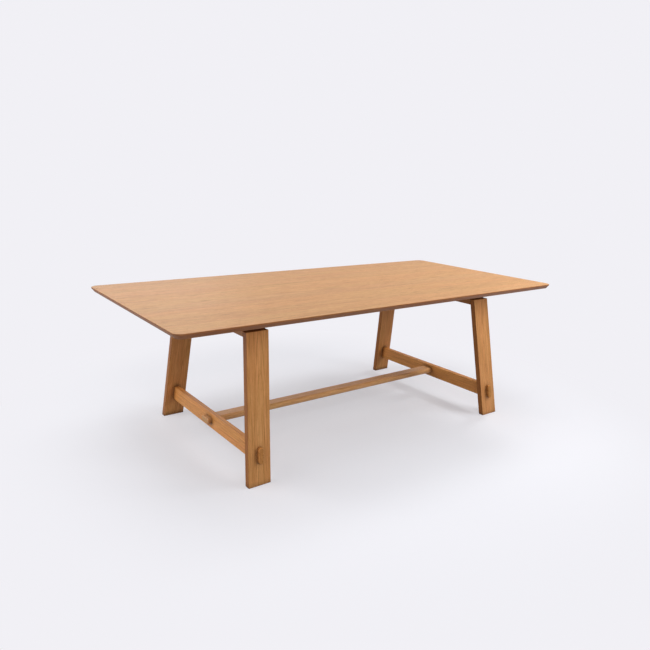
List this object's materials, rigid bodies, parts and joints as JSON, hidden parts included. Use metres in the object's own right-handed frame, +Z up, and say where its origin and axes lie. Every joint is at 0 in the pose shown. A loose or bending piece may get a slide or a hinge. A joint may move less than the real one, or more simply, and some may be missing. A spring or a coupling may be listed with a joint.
{
  "type": "trestle dining table",
  "caption": "Rectangular solid wood dining table on two splayed trestles, with through tenons and a low stretcher between them.",
  "frame": {"origin": "on the floor, below the middle of the top", "axes": "+X along the table to the right, +Y across the table to the back, +Z up"},
  "size_m": [2.34, 1.09, 0.75],
  "materials": {
    "top_wood": "light oak, oiled to a low sheen",
    "frame_wood": "light oak, oiled to a low sheen",
    "dowel_wood": "plain beech, glued in",
    "bolt_steel": "zinc plated",
    "insert_brass": "turned brass"
  },
  "bodies": {
    "root": {"top_stave_1": "top_wood", "top_stave_2": "top_wood", "top_stave_3": "top_wood", "top_stave_4": "top_wood", "top_stave_5": "top_wood", "top_stave_6": "top_wood", "top_stave_7": "top_wood", "top_stave_8": "top_wood", "top_stave_9": "top_wood", "bearer_left": "frame_wood", "bearer_right": "frame_wood", "leg_front_left": "frame_wood", "leg_front_right": "frame_wood", "leg_back_left": "frame_wood", "leg_back_right": "frame_wood", "cross_rail_left": "frame_wood", "cross_rail_right": "frame_wood", "long_stretcher": "frame_wood", "bearer_dowels": "dowel_wood", "top_bolts": "bolt_steel", "top_bolt_washers": "bolt_steel", "top_inserts": "insert_brass"}
  },
  "joints": []
}
